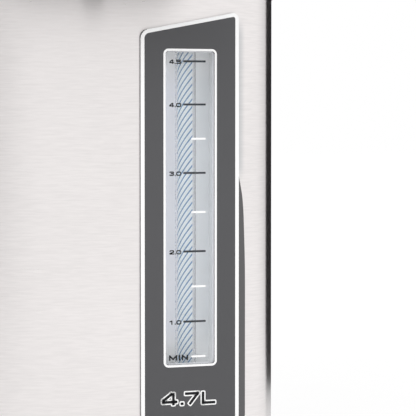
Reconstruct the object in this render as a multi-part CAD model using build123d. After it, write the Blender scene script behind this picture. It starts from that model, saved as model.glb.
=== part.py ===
from build123d import *
import math
import os

# Electric water boiler, millimetres, +Z up, front towards -Y.
# The origin is on the table, on the axis of the swivelling foot.

# Body: a steel wrap with a rounded square plan and slightly crowned sides.
body_half_width = 106.0
face_radius = 300.0
corner_radius = 24.0
sheet = 0.6
shell_bottom = 27.0
shell_top = 274.0

# Swivelling foot: a shouldered bolt holds the turntable under the base pan.
table_gap = 2.0
turntable_radius = 86.0
turntable_top = 8.0
foot_radius = 80.0
foot_width = 10.0
foot_height = 4.0
swivel_radius = 6.0
bolt_head_radius = 9.0
bolt_head_bottom = 1.6
bolt_head_top = 3.2
bolt_thread_radius = 4.0
bolt_top = 20.0
washer_radius = 13.0
washer_top = 4.7
glide_count = 6
glide_radius = 5.0
glide_row = 76.0
running_gap = 0.08
free_gap = 0.3

# Base pan, its bosses and its screws.
base_bottom = 10.0
base_wall = 2.5
base_bevel = 2.5
spigot_height = 6.0
spigot_inset = 0.9
swivel_boss_radius = 12.0
swivel_boss_top = 22.0
screw_places = [(70, 70), (-70, 70), (-70, -70), (70, -70)]
screw_boss_radius = 5.0
screw_boss_top = 30.0
screw_radius = 1.6
screw_head_radius = 3.5
screw_top = 34.0
board_posts = [(-72, 14), (-72, 56), (-24, 14), (-24, 56)]
post_radius = 3.0
board_bottom = 16.0
board_thickness = 1.6
air_slots = 7
air_slot_pitch = 14.0
air_slot_half = 1.8
air_slot_near = 66.0
air_slot_far = 84.0

# Water pot: at this inner radius one litre stands 39.3 mm high.
pot_radius = 90.0
pot_wall = 0.8
pot_floor = 54.5
pot_rim = 280.0
pot_flange_radius = 96.5
pot_round = 8.0
spigot_radius = 5.0
outlet_bore = 4.0
outlet_foot = 47.0
strainer_radius = 9.0
strainer_wall = 0.8
strainer_height = 8.0
strainer_rows = [(3.0, 6), (6.0, 10)]
strainer_hole = 0.8

# Heater, its keep-warm band and the cut-out under it.
heater_radius = 72.0
heater_bottom = 50.7
band_thickness = 2.0
band_bottom = 66.0
band_top = 86.0
band_gap = 6.0
cutout_radius = 12.0
cutout_bottom = 44.0
cutout_cap_radius = 8.5
cutout_cap_bottom = 41.5

# Bracket: a dish under the pot with four legs down to the screws.
dish_radius = 80.0
dish_bottom = 40.0
dish_top = 50.0
bracket_sheet = 1.0
leg_half = 8.0
leg_root = 77.0
leg_drop = 94.0
leg_end = 107.0

# Pump: motor, magnetic drive and the wet chamber over it.
pump_x = 30.0
pump_y = -30.0
pump_radius = 17.0
chamber_bottom = 27.5
chamber_top = 37.0
chamber_radius = 14.5
chamber_roof = 34.5
outlet_z = 32.0
outlet_reach = 24.0
stub_radius = 4.0
stub_bore = 2.6
stem_radius = 5.0
stem_bore = 3.0
stem_top = 44.0
impeller_radius = 12.5
impeller_hub = 3.4
impeller_low = 29.3
blade_count = 6
axle_radius = 1.2
magnet_radius = 11.0
magnet_bottom = 25.0
magnet_top = 27.0
motor_radius = 14.0
motor_bottom = 13.5
motor_top = 21.0
shaft_radius = 1.6
cup_floor = 24.5
cup_radius = 12.0
elbow_z = 41.5

# Level gauge: its middle lies at this angle round the crown of the front face.
gauge_angle = 9.65
gauge_half_width = 26.9
gauge_bottom = 34.0
gauge_top_left = 247.1
gauge_top_right = 257.7
window_half_width = 13.5
window_bottom = 69.7
window_top = 236.6
panel_lift = 1.0
panel_thickness = 0.6
rail_top = 171.0
rail_width = 4.6
rail_slope = 31.0
tube_radius = 5.5
tube_bore = 4.9
tube_offset = 0.0
tube_depth = 8.6
tube_bottom = 52.0
tube_top = 254.0
elbow_radius = 7.4
hose_bottom = 262.0
hose_shift = 1.8
hose_radius = 4.6
hose_bore = 3.2
barb_bore = 2.0
tub_depth = 16.0
tub_half_width = 16.8
tub_bottom = 62.2
tub_top = 243.8
tub_wall = 1.6
tub_back = 1.3
pane_thickness = 1.6
pane_margin = 1.4
ledge_back = 1.5
ledge_width = 0.6

# Collar, beak and controls.
collar_bottom = 270.5
collar_top = 306.0
collar_overhang = 2.0
collar_inner = 1.5
collar_round = 6.0
collar_deck = 3.0
shelf_top = 279.2
well_radius = 99.5
well_wall = 1.5
beak_bottom = 270.5
beak_split = 288.0
beak_wall = 2.3
beak_root_half = 62.0
beak_root_y = -88.0
beak_tip_half = 46.0
beak_side_y = -150.0
beak_tip_y = -158.0
nozzle_y = -140.0
nozzle_tip = 264.0
nozzle_inlet_z = 279.5
nozzle_radius = 7.0
nozzle_flange_radius = 10.5
nozzle_bore = 4.2
panel_tilt = 10.0
button_places = [-25.0, 0.0, 25.0]
button_sizes = [(17.0, 12.0), (22.0, 14.0), (17.0, 12.0)]
lamp_places = [-25.0, 0.0, 25.0]
lamp_row = 13.0
harness_x = -88.0
harness_y = -62.0

# Lid, with the air pump's push plate in its middle.
lid_radius = 97.0
lid_wall = 2.5
lid_bottom = 292.0
lid_crown = 336.0
lid_dome_radius = 208.0
hinge_y = 102.0
hinge_z = 299.0
hinge_half = 25.0
hinge_eye_radius = 4.5
hinge_pin_radius = 2.0
hinge_pin_half = 31.0
liner_radius = 94.2
plug_radius = 86.0
plug_bottom = 281.5
vent_y = 68.0
vent_radius = 15.0
vent_slots = 5
push_radius = 44.5
push_room = 46.0
push_bottom = 312.0

# Bellows and return spring under the push plate.
bellows_bottom = 291.6
bellows_top = 331.0
bellows_pleats = 6
bellows_valley = 26.0
bellows_crest = 33.0
bellows_wall = 1.4
pump_coil_radius = 14.0
pump_wire = 1.6
pump_coil_length = 39.0
pump_turns = 6

# Front catch: the latch's tongue slides under the keeper's lip.
tongue_bottom = 299.5
tongue_top = 302.5
tongue_tip = -94.4
tongue_half = 7.5
latch_half = 15.0
latch_front = -90.0
latch_back = -74.0
slider_half = 14.0
slider_front = -92.0
slider_back = -69.0
grip_lift = 2.0
keeper_half = 6.0
keeper_back = -100.2
keeper_face = -98.8
keeper_lip = -92.3
keeper_foot = 284.0
keeper_top = 304.5
latch_coil_radius = 3.4
latch_wire = 0.7
latch_coil_length = 15.4
latch_turns = 6

# Carrying handle.
handle_pivot_y = 8.0
handle_z = 291.0
handle_inner = 110.0
handle_arm = 8.0
handle_reach = 138.0
handle_grip = 18.0
handle_height = 14.0
handle_bend = 66.0
handle_eye_radius = 9.0
handle_pin_radius = 4.0

# Power socket.
socket_half = 21.0
socket_bottom = 34.0
socket_top = 53.0
socket_back = 84.0
recess_half = 17.0
recess_bottom = 37.0
recess_top = 50.0
recess_back = 92.0
recess_middle = (recess_bottom + recess_top) / 2
cover_half = 30.0
cover_bottom = 29.0
cover_top = 60.0
cover_lift = 2.0
pin_radius = 2.4
pin_spacing = 16.0

ON_BASE = (Align.CENTER, Align.CENTER, Align.MIN)

# The corner arcs of the plan are tangent to the crowned sides, which gives their centres.
crown_offset = face_radius - body_half_width
corner_reach = face_radius - corner_radius
corner_centre = (math.sqrt(2 * corner_reach**2 - crown_offset**2) - crown_offset) / 2
corner_turn = math.degrees(math.asin(corner_centre / corner_reach))


def outline_point(turn, inset):
    """Point of the plan whose outward normal stands at turn degrees from the front, towards +X."""
    side = round(turn / 90)
    local = math.radians(turn - 90 * side)
    if abs(turn - 90 * side) <= corner_turn + 1e-6:
        radius = face_radius - inset
        x = radius * math.sin(local)
        y = crown_offset - radius * math.cos(local)
    else:
        radius = corner_radius - inset
        x = math.copysign(corner_centre, local) + radius * math.sin(local)
        y = -corner_centre - radius * math.cos(local)
    return Vector(x, y, 0).rotate(Axis.Z, 90 * side)


def plan_slab(inset, bottom, top):
    """Solid of the body's plan, moved inwards by inset, between two heights."""
    arcs = []
    for side in range(4):
        crown = (90 * side - corner_turn, 90 * side + corner_turn)
        corner = (crown[1], 90 * (side + 1) - corner_turn)
        for start, end in (crown, corner):
            turns = (start, (start + end) / 2, end)
            arcs.append(ThreePointArc(*[outline_point(turn, inset) for turn in turns]))
    return Pos(0, 0, bottom) * extrude(make_face(Wire(arcs)), top - bottom)


def disc(radius, bottom, top, x=0.0, y=0.0):
    """Upright cylinder between two heights."""
    return Pos(x, y, bottom) * Cylinder(radius, top - bottom, align=ON_BASE)


def tube(outer, inner, bottom, top, x=0.0, y=0.0):
    """Upright ring between two heights."""
    return disc(outer, bottom, top, x, y) - disc(inner, bottom - 1, top + 1, x, y)


def block(x0, x1, y0, y1, z0, z1):
    """Box between two corners."""
    return Pos((x0 + x1) / 2, (y0 + y1) / 2, (z0 + z1) / 2) * Box(x1 - x0, y1 - y0, z1 - z0)


def along_x(radius, x0, x1, y, z):
    """Cylinder lying along X."""
    return Pos((x0 + x1) / 2, y, z) * Rot(0, 90, 0) * Cylinder(radius, abs(x1 - x0))


def along_y(radius, y0, y1, x, z):
    """Cylinder lying along Y."""
    return Pos(x, (y0 + y1) / 2, z) * Rot(90, 0, 0) * Cylinder(radius, abs(y1 - y0))


# Gauge frame: X runs along the face, Y is up and Z points out of the body.
gauge_normal = math.radians(gauge_angle)
gauge_plane = Plane(
    origin=outline_point(gauge_angle, 0),
    x_dir=(math.cos(gauge_normal), math.sin(gauge_normal), 0),
    z_dir=(math.sin(gauge_normal), -math.cos(gauge_normal), 0),
)
tube_centre = (gauge_plane.location * Pos(tube_offset, 0, -tube_depth)).position
hose_foot = (gauge_plane.location * Pos(tube_offset, 0, hose_shift - tube_depth)).position

# The pump pushes towards the foot of the level tube.
outlet_turn = math.degrees(math.atan2(tube_centre.Y - pump_y, tube_centre.X - pump_x))
run_length = math.hypot(tube_centre.X - pump_x, tube_centre.Y - pump_y)

# Control frame: X to the right, Y up the slope and Z out of the sloping top of the beak.
slope = math.radians(panel_tilt)
panel_origin_y = -130.0
panel_drop = (abs(panel_origin_y) - body_half_width) * math.tan(slope)
control_plane = Plane(
    origin=(0, panel_origin_y, collar_top - panel_drop),
    x_dir=(1, 0, 0),
    z_dir=(0, -math.sin(slope), math.cos(slope)),
)


def on_gauge(shape):
    return gauge_plane.location * shape


def on_controls(shape):
    return control_plane.location * shape


def coil(radius, wire, length, turns):
    """Round wire wound up the Z axis, every quarter turn as two arcs tangent to each other."""
    quarters = 4 * turns
    rise = (length - 2 * wire) / quarters

    def place(step):
        angle = math.pi / 2 * step
        return Vector(radius * math.cos(angle), radius * math.sin(angle), wire + rise * step)

    def heading(step):
        angle = math.pi / 2 * step
        ahead = Vector(-radius * math.sin(angle), radius * math.cos(angle), rise * 2 / math.pi)
        return ahead.normalized()

    arcs = []
    for step in range(quarters):
        start, end = place(step), place(step + 1)
        out, into = heading(step), heading(step + 1)
        chord = end - start
        both = out + into
        spread = 2 * (1 - out.dot(into))
        along = chord.dot(both)
        reach = (math.sqrt(along**2 + spread * chord.dot(chord)) - along) / spread
        near = start + out * reach
        far = end - into * reach
        meeting = (near + far) * 0.5
        arcs.append(TangentArc(start, meeting, tangent=out))
        arcs.append(TangentArc(meeting, end, tangent=far - near))
    path = Wire(arcs)
    section = Plane(origin=place(0), z_dir=heading(0)) * Circle(wire / 2)
    return sweep(section, path)


def hose(points, radii, outer, inner):
    """Hose of straight runs joined by tangent arcs."""
    path = FilletPolyline(*points, radius=radii)
    start = Vector(*points[0])
    ahead = Vector(*points[1]) - start
    section = Plane(origin=start, z_dir=ahead) * (Circle(outer) - Circle(inner))
    return sweep(section, path)


def foot_ring():
    return tube(foot_radius, foot_radius - foot_width, 0, foot_height)


def turntable():
    plate = disc(turntable_radius, table_gap, turntable_top)
    plate = chamfer(plate.edges().sort_by(Axis.Z)[0], 1.0)
    groove = tube(foot_radius, foot_radius - foot_width, table_gap - 1, foot_height)
    washer_room = disc(16.0, table_gap - 1, 5.0)
    return plate - groove - washer_room - disc(swivel_radius + running_gap, 0, turntable_top + 1)


def swivel_bolt():
    head = disc(bolt_head_radius, bolt_head_bottom, bolt_head_top)
    shoulder = disc(swivel_radius, bolt_head_top, base_bottom)
    thread = disc(bolt_thread_radius, base_bottom, bolt_top)
    slot = block(-swivel_radius, swivel_radius, -0.8, 0.8, bolt_head_bottom - 1, bolt_head_bottom + 0.8)
    return head + shoulder + thread - slot


def swivel_washer():
    return tube(washer_radius, swivel_radius, bolt_head_top, washer_top)


def swivel_glides():
    pads = []
    for turn in range(glide_count):
        angle = 2 * math.pi * turn / glide_count
        x = glide_row * math.cos(angle)
        y = glide_row * math.sin(angle)
        pads.append(disc(glide_radius, turntable_top + free_gap, base_bottom, x, y))
    return Compound(pads)


def base_pan():
    outer = plan_slab(0, base_bottom, shell_bottom)
    outer = chamfer(outer.faces().sort_by(Axis.Z)[0].edges(), base_bevel)
    spigot_top = shell_bottom + spigot_height
    floor = base_bottom + base_wall
    under = base_bottom - 1
    pan = outer + plan_slab(spigot_inset, shell_bottom, spigot_top)
    pan -= plan_slab(spigot_inset + base_wall, floor, spigot_top + 1)
    pan += disc(swivel_boss_radius, base_bottom + 1, swivel_boss_top)
    for x, y in screw_places:
        pan += disc(screw_boss_radius, base_bottom + 1, screw_boss_top, x, y)
    for x, y in board_posts:
        pan += disc(post_radius, base_bottom + 1, board_bottom, x, y)
    pan -= disc(bolt_thread_radius, under, bolt_top)
    for x, y in screw_places:
        pan -= disc(screw_head_radius + 0.1, under, floor, x, y)
        pan -= disc(screw_radius, under, screw_boss_top + 1, x, y)
    for slot in range(air_slots):
        x = air_slot_pitch * (slot - (air_slots - 1) / 2)
        pan -= block(x - air_slot_half, x + air_slot_half, air_slot_near, air_slot_far, under, floor + 1)
    room = socket_half + 1
    return pan - block(-room, room, body_half_width - 6, body_half_width + 4, socket_bottom - 1.2, 40)


def base_screws():
    screws = []
    for x, y in screw_places:
        head = disc(screw_head_radius, base_bottom + 0.6, base_bottom + base_wall, x, y)
        screws.append(head + disc(screw_radius, base_bottom + base_wall, screw_top, x, y))
    return Compound(screws)


def outer_shell():
    wrap = plan_slab(0, shell_bottom, shell_top) - plan_slab(sheet, shell_bottom - 1, shell_top + 1)
    gauge_hole = Box(2 * tub_half_width + 0.4, tub_top - tub_bottom + 0.4, 12)
    wrap -= on_gauge(Pos(0, (tub_top + tub_bottom) / 2, 0) * gauge_hole)
    edge = 0.3
    wrap -= block(
        -socket_half - edge, socket_half + edge, 95, 115, socket_bottom - edge, socket_top + edge
    )
    return wrap


def rear_cover():
    middle = (cover_bottom + cover_top) / 2
    outline = RectangleRounded(2 * cover_half, cover_top - cover_bottom, 5.0)
    opening = RectangleRounded(2 * recess_half, recess_top - recess_bottom, 2.0)
    stamp = Pos(0, 95, middle) * Rot(90, 0, 0) * extrude(outline, -25)
    hole = Pos(0, 95, recess_middle) * Rot(90, 0, 0) * extrude(opening, -25)
    plate = plan_slab(-cover_lift, cover_bottom - 1, cover_top + 1) & stamp
    return plate - plan_slab(0, cover_bottom - 2, cover_top + 2) - hole


def power_socket():
    body = block(-socket_half, socket_half, socket_back, 112, socket_bottom, socket_top)
    body = body & plan_slab(0, socket_bottom - 1, socket_top + 1)
    opening = RectangleRounded(2 * recess_half, recess_top - recess_bottom, 2.0)
    return body - Pos(0, recess_back, recess_middle) * Rot(90, 0, 0) * extrude(opening, -20)


def socket_pins():
    pins = []
    for x in (-pin_spacing / 2, pin_spacing / 2):
        pin = along_y(pin_radius, recess_back, recess_back + 11, x, recess_middle)
        pins.append(fillet(pin.edges().sort_by(Axis.Y)[-1], 1.6))
    return Compound(pins)


def inner_pot():
    outer = disc(pot_radius + pot_wall, pot_floor - pot_wall, pot_rim)
    outer = fillet(outer.edges().sort_by(Axis.Z)[0], pot_round + pot_wall)
    inner = disc(pot_radius, pot_floor, pot_rim + 10)
    inner = fillet(inner.edges().sort_by(Axis.Z)[0], pot_round)
    flange = disc(pot_flange_radius, pot_rim - pot_wall, pot_rim)
    pot = outer + flange - inner
    pot += disc(spigot_radius, outlet_foot, pot_floor - pot_wall / 2, pump_x, pump_y)
    return pot - disc(outlet_bore, outlet_foot - 1, pot_floor + 1, pump_x, pump_y)


def outlet_strainer():
    roof = pot_floor + strainer_height
    cap = tube(strainer_radius, strainer_radius - strainer_wall, pot_floor, roof, pump_x, pump_y)
    cap += disc(strainer_radius, roof, roof + strainer_wall, pump_x, pump_y)
    for radius, count in strainer_rows:
        for step in range(count):
            angle = 2 * math.pi * step / count
            x = pump_x + radius * math.cos(angle)
            y = pump_y + radius * math.sin(angle)
            cap -= disc(strainer_hole, roof - 1, roof + 2, x, y)
    return cap


def heater_plate():
    plate = disc(heater_radius, heater_bottom, pot_floor - pot_wall)
    return plate - disc(spigot_radius + 2, heater_bottom - 1, pot_floor, pump_x, pump_y)


def heater_band():
    inner = pot_radius + pot_wall
    band = tube(inner + band_thickness, inner, band_bottom, band_top)
    return band - block(-band_gap, band_gap, inner - 10, inner + 10, band_bottom - 1, band_top + 1)


def thermostat():
    body = disc(cutout_radius, cutout_bottom, heater_bottom)
    cap = disc(cutout_cap_radius, cutout_cap_bottom, cutout_bottom)
    lug_reach = cutout_radius + 3.5
    lugs = block(-lug_reach, lug_reach, -3.2, 3.2, cutout_bottom - 1.5, cutout_bottom - 0.7)
    return body + cap + lugs


def pot_bracket():
    floor = dish_bottom + bracket_sheet
    dish = disc(dish_radius, dish_bottom, dish_top)
    dish -= disc(dish_radius - bracket_sheet, floor, dish_top + 1)
    for x, y in screw_places:
        turn = math.degrees(math.atan2(y, x))
        knee = leg_drop - bracket_sheet
        leg = block(leg_root, leg_drop, -leg_half, leg_half, dish_bottom, floor)
        leg += block(knee, leg_drop, -leg_half, leg_half, screw_boss_top, floor)
        leg += block(knee, leg_end, -leg_half, leg_half, screw_boss_top, screw_boss_top + bracket_sheet)
        dish += Rot(0, 0, turn) * leg
        dish -= disc(screw_radius, screw_boss_top - 1, screw_top + 1, x, y)
    hose_slot = block(12, 60, -7.5, 7.5, dish_bottom - 4, dish_top + 2)
    dish -= Pos(pump_x, pump_y, 0) * Rot(0, 0, outlet_turn) * hose_slot
    dish -= disc(cutout_radius + 4.5, dish_bottom - 1, floor + 1)
    return dish - disc(spigot_radius + 4, dish_bottom - 1, floor + 1, pump_x, pump_y)


def pump_body():
    chamber = disc(pump_radius, chamber_bottom, chamber_top, pump_x, pump_y)
    chamber = fillet(chamber.edges().sort_by(Axis.Z)[-1], 2.0)
    chamber += disc(stem_radius, chamber_top - 1, stem_top, pump_x, pump_y)
    chamber += outlet_run(stub_radius, 10.0, outlet_reach)
    floor = chamber_bottom + 1.5
    chamber -= disc(stem_bore, floor + 1, stem_top + 1, pump_x, pump_y)
    chamber -= disc(chamber_radius, floor, chamber_roof, pump_x, pump_y)
    chamber -= outlet_run(stub_bore, 10.0, outlet_reach + 1)
    return chamber + disc(axle_radius, floor - 1, chamber_roof + 0.5, pump_x, pump_y)


def outlet_run(radius, start, end):
    """Round bar along the pump's outlet, between two distances from its axis."""
    run = along_x(radius, start, end, 0, outlet_z)
    return Pos(pump_x, pump_y, 0) * Rot(0, 0, outlet_turn) * run


def pump_impeller():
    wheel = disc(impeller_hub, impeller_low, chamber_roof - 0.5, pump_x, pump_y)
    wheel += disc(impeller_radius, impeller_low, impeller_low + 1.2, pump_x, pump_y)
    for blade in range(blade_count):
        vane = block(3.0, impeller_radius, -0.5, 0.5, impeller_low + 0.7, chamber_roof - 0.9)
        wheel += Pos(pump_x, pump_y, 0) * Rot(0, 0, 360 / blade_count * blade) * vane
    return wheel - disc(axle_radius + running_gap, impeller_low - 1, chamber_roof + 1, pump_x, pump_y)


def drive_magnet():
    return tube(magnet_radius, shaft_radius + running_gap, magnet_bottom, magnet_top, pump_x, pump_y)


def pump_motor():
    can = disc(motor_radius, motor_bottom, motor_top, pump_x, pump_y)
    cup = tube(pump_radius, cup_radius, motor_top, chamber_bottom, pump_x, pump_y)
    cup += disc(pump_radius, motor_top - 1, cup_floor, pump_x, pump_y)
    shaft = disc(shaft_radius, motor_top - 1, magnet_top - 0.1, pump_x, pump_y)
    ear_reach = motor_radius + 10
    ears = block(pump_x - ear_reach, pump_x + ear_reach, pump_y - 5, pump_y + 5, motor_top, motor_top + 2)
    groove = block(pump_x - 4, pump_x + 4, pump_y - 3, pump_y + 3, motor_bottom - 1, motor_bottom + 0.7)
    return can + cup + shaft + ears - groove


def pump_inlet_hose():
    return tube(spigot_radius + 2, spigot_radius, chamber_top + 3, dish_top, pump_x, pump_y)


def pump_outlet_hose():
    path = [
        (pump_radius + 0.6, 0, outlet_z),
        (29.0, 0, outlet_z),
        (39.0, 0, elbow_z),
        (run_length - elbow_radius - 0.6, 0, elbow_z),
    ]
    pipe = hose(path, [8.0, 8.0], stub_radius + 1.8, stub_radius)
    return Pos(pump_x, pump_y, 0) * Rot(0, 0, outlet_turn) * pipe


def gauge_lower_elbow():
    x, y = tube_centre.X, tube_centre.Y
    cup = disc(elbow_radius, elbow_z - 6, tub_bottom - free_gap, x, y)
    barb = along_x(stub_radius, run_length - 17, run_length, 0, elbow_z)
    bore = along_x(stub_bore, run_length - 18, run_length, 0, elbow_z)
    cup += Pos(pump_x, pump_y, 0) * Rot(0, 0, outlet_turn) * barb
    cup -= Pos(pump_x, pump_y, 0) * Rot(0, 0, outlet_turn) * bore
    cup -= disc(tube_radius, tube_bottom, tub_bottom, x, y)
    return cup - disc(tube_bore, elbow_z - 0.5, tube_bottom + 1, x, y)


def gauge_tube():
    return tube(tube_radius, tube_bore, tube_bottom, tube_top, tube_centre.X, tube_centre.Y)


def gauge_upper_elbow():
    x, y = tube_centre.X, tube_centre.Y
    barb_top = hose_bottom + 10
    cup = disc(elbow_radius, tub_top + free_gap, hose_bottom, x, y)
    cup += disc(hose_bore, hose_bottom, barb_top, hose_foot.X, hose_foot.Y)
    cup -= disc(tube_radius, tub_top, tube_top, x, y)
    cup -= disc(tube_bore, tube_top - 4, tube_top + 2, x, y)
    return cup - disc(barb_bore, tube_top - 4, barb_top + 1, hose_foot.X, hose_foot.Y)


def spout_hose():
    x, y = hose_foot.X, hose_foot.Y
    path = [
        (x, y, hose_bottom),
        (x, y, 286.5),
        (x - 10, y - 22, 284.0),
        (24.0, nozzle_y, nozzle_inlet_z),
        (8.0, nozzle_y, nozzle_inlet_z),
    ]
    return hose(path, [8.0, 12.0, 8.0], hose_radius, hose_bore)


def gauge_outline(margin):
    """Outline of the gauge's face plate: upright sides and a top that climbs to the right."""
    half = gauge_half_width - margin
    corners = [
        (-half, gauge_bottom + margin),
        (half, gauge_bottom + margin),
        (half, gauge_top_right - margin),
        (-half, gauge_top_left - margin),
    ]
    face = make_face(Polyline(*corners, close=True))
    return fillet(face.vertices(), 4.0)


def rail_outline():
    """Outline of the dark rail on the right of the gauge, which tapers to nothing at its top."""
    outer = gauge_half_width + rail_width
    inner = gauge_half_width - 6
    foot = gauge_bottom + 2
    taper = Spline(
        (gauge_half_width, rail_top),
        (gauge_half_width + 0.5 * rail_width, rail_top - 10),
        (gauge_half_width + 0.84 * rail_width, rail_top - 30),
        (outer, rail_top - 60),
        tangents=((0.24, -1.0), (0.0, -1.0)),
    )
    low = (outer, gauge_bottom + 6)
    rest = Polyline(taper @ 1, low, (gauge_half_width, foot), (inner, foot), (inner, rail_top), taper @ 0)
    return make_face(Wire([taper, *rest.edges()]))


def window_box(margin, near, far):
    """Box as wide and high as the window and a margin, between two distances from the face."""
    width = 2 * (window_half_width + margin)
    height = window_top - window_bottom + 2 * margin
    middle = (window_top + window_bottom) / 2
    return on_gauge(Pos(0, middle, (near + far) / 2) * Box(width, height, abs(near - far)))


def tub_box(margin, near, far):
    """Box as wide and high as the tub less a margin, between two distances from the face."""
    width = 2 * (tub_half_width - margin)
    height = tub_top - tub_bottom - 2 * margin
    middle = (tub_top + tub_bottom) / 2
    return on_gauge(Pos(0, middle, (near + far) / 2) * Box(width, height, abs(near - far)))


def gauge_housing():
    flange = extrude(Pos(0, 0, -6) * gauge_outline(0.0), 6 + panel_lift)
    rail = extrude(Pos(0, 0, -8) * rail_outline(), 8 + panel_lift)
    bevel = Pos(gauge_half_width, 140, panel_lift) * Rot(0, rail_slope, 0)
    rail -= bevel * (Pos(20, 0, 10) * Box(40, 300, 20))
    holder = tub_box(0, 0, -tub_depth) & plan_slab(0, tub_bottom - 1, tub_top + 1)
    holder += on_gauge(flange + rail) - plan_slab(0, gauge_bottom - 5, gauge_top_right + 5)
    holder -= tub_box(tub_wall, -ledge_back, tub_back - tub_depth)
    holder -= window_box(-ledge_width, -ledge_back - 1, panel_lift + 1)
    holder -= window_box(pane_margin + 0.05, panel_lift - pane_thickness, panel_lift + 1)
    return holder - disc(tube_radius, 50, 260, tube_centre.X, tube_centre.Y)


def gauge_backing():
    """White channel behind and beside the level tube."""
    wall = 0.4
    back = tub_back + 0.05 - tub_depth
    channel = tub_box(tub_wall + 0.2, -ledge_back - 0.1, back)
    channel -= tub_box(tub_wall + 0.2 + wall, 1, back + wall)
    return channel - disc(tube_radius + 0.2, 50, 260, tube_centre.X, tube_centre.Y)


def gauge_window():
    return window_box(pane_margin, panel_lift - pane_thickness, panel_lift)


def gauge_panel():
    opening = RectangleRounded(2 * window_half_width, window_top - window_bottom, 2.0)
    face = gauge_outline(0.2) - Pos(0, (window_top + window_bottom) / 2) * opening
    plate = extrude(Pos(0, 0, panel_lift) * face, panel_thickness)
    rim = plate.faces().sort_by(Axis.Z)[-1].outer_wire().edges()
    return on_gauge(chamfer(rim, 0.25))


def collar_skin():
    skin = plan_slab(-collar_overhang, collar_bottom, collar_top)
    return fillet(skin.faces().sort_by(Axis.Z)[-1].edges(), collar_round)


def collar():
    ring = collar_skin()
    over = collar_top + 2
    ring -= plan_slab(-0.1, collar_bottom - 1, shell_top)
    ring -= plan_slab(collar_inner, shell_top - 1, collar_top - collar_deck)
    ring += plan_slab(collar_inner - 0.1, shelf_top - collar_deck, shelf_top)
    ring += tube(well_radius + well_wall, well_radius, shelf_top - 1, collar_top - 2)
    ring += block(-33, 33, 94, 105.5, shelf_top - 1, collar_top - 2.5)
    ring -= disc(well_radius, shelf_top, over)
    ring -= disc(pot_radius + pot_wall + 1, collar_bottom - 8, collar_top)
    hinge_room = hinge_half + 0.6
    ring -= block(-hinge_room, hinge_room, 90, 115, hinge_z - 5, over)
    ring -= block(-36, 36, 90, 115, collar_top - 2, over)
    ring -= along_x(hinge_pin_radius, -hinge_pin_half, hinge_pin_half, hinge_y, hinge_z)
    opening = block(-56, 56, -112, -88, shelf_top + 0.8, collar_top - 4)
    ring -= opening - disc(well_radius + well_wall, collar_bottom, over)
    ring -= block(-keeper_half, keeper_half, keeper_back, keeper_face + 0.8, keeper_foot, collar_top)
    ring -= disc(hose_radius + 0.6, collar_bottom, collar_top - 24, hose_foot.X, hose_foot.Y)
    ring -= disc(5.0, collar_bottom, collar_top - 24, harness_x, harness_y)
    for side in (-1, 1):
        ring -= along_x(handle_pin_radius, side * 102, side * 112, handle_pivot_y, handle_z)
    return ring


def beak_outline(inset, rounding):
    """Plan of the beak, moved inwards by inset and open towards the body."""
    root = beak_root_half - inset
    side = beak_tip_half - inset
    side_y = beak_side_y + inset
    edges = [
        Line((-root, beak_root_y), (-side, side_y)),
        ThreePointArc((-side, side_y), (0, beak_tip_y + inset), (side, side_y)),
        Line((side, side_y), (root, beak_root_y)),
        Line((root, beak_root_y), (-root, beak_root_y)),
    ]
    outline = make_face(Wire(edges))
    return fillet(outline.vertices().sort_by(Axis.Y)[:2], rounding)


def beak_form():
    """Outer form of the beak, from its underside up to its sloping top."""
    form = Pos(0, 0, beak_bottom) * extrude(beak_outline(0, 20.0), collar_top - beak_bottom)
    form -= on_controls(Pos(0, 0, 30) * Box(300, 300, 60))
    form = fillet(form.faces().sort_by(Axis.Z)[0].edges(), 5.0)
    top = form.faces().filter_by(lambda face: face.normal_at().dot(control_plane.z_dir) > 0.99)
    return fillet(top.edges().filter_by(lambda edge: (edge @ 0.5).Y < -body_half_width - 4), 3.5)


def beak_room():
    """Hollow inside the beak."""
    room = Pos(0, 0, beak_bottom + beak_wall) * extrude(beak_outline(beak_wall, 18.0), 50)
    return room - on_controls(Pos(0, 0, 30 - beak_wall) * Box(300, 300, 60))


def beak_base():
    lower = beak_form() & block(-100, 100, -170, -80, beak_bottom - 1, beak_split)
    lower -= beak_room()
    lower -= collar_skin()
    return lower - disc(8.0, beak_bottom - 1, beak_bottom + 6, 0, nozzle_y)


def beak_cover():
    upper = beak_form() & block(-100, 100, -170, -80, beak_split, beak_split + 40)
    upper -= beak_room()
    upper -= collar_skin()
    for centre, (width, depth) in zip(button_places, button_sizes):
        opening = RectangleRounded(width + 0.6, depth + 0.6, 3.3)
        upper -= on_controls(Pos(centre, 0, -5) * extrude(opening, 8))
    for lamp in lamp_places:
        upper -= on_controls(Pos(lamp, lamp_row, -5) * Cylinder(2.0, 12))
    return upper


def control_panel():
    face = RectangleRounded(78.0, 37.0, 6.0)
    plate = extrude(Pos(0, 0.5) * face, 0.8)
    for centre, (width, depth) in zip(button_places, button_sizes):
        opening = RectangleRounded(width + 0.6, depth + 0.6, 3.3)
        plate -= Pos(centre, 0, -1) * extrude(opening, 4)
    for lamp in lamp_places:
        plate -= Pos(lamp, lamp_row, 0) * Cylinder(2.0, 6)
    return on_controls(plate)


def button(index):
    width, depth = button_sizes[index]
    cap = extrude(Pos(0, 0, -3.2) * RectangleRounded(width, depth, 3.0), 5.2)
    cap = fillet(cap.faces().sort_by(Axis.Z)[-1].edges(), 0.8)
    foot = extrude(Pos(0, 0, -4.0) * RectangleRounded(width + 2.4, depth + 2.4, 3.0), 1.2)
    return on_controls(Pos(button_places[index], 0, 0) * (cap + foot))


def dispense_button():
    return button(1)


def unlock_button():
    return button(0)


def reboil_button():
    return button(2)


def lamp_lenses():
    lenses = []
    for lamp in lamp_places:
        lens = Pos(lamp, lamp_row, -2.5) * Cylinder(2.0, 3.7, align=ON_BASE)
        lenses.append(on_controls(lens))
    return Compound(lenses)


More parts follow.
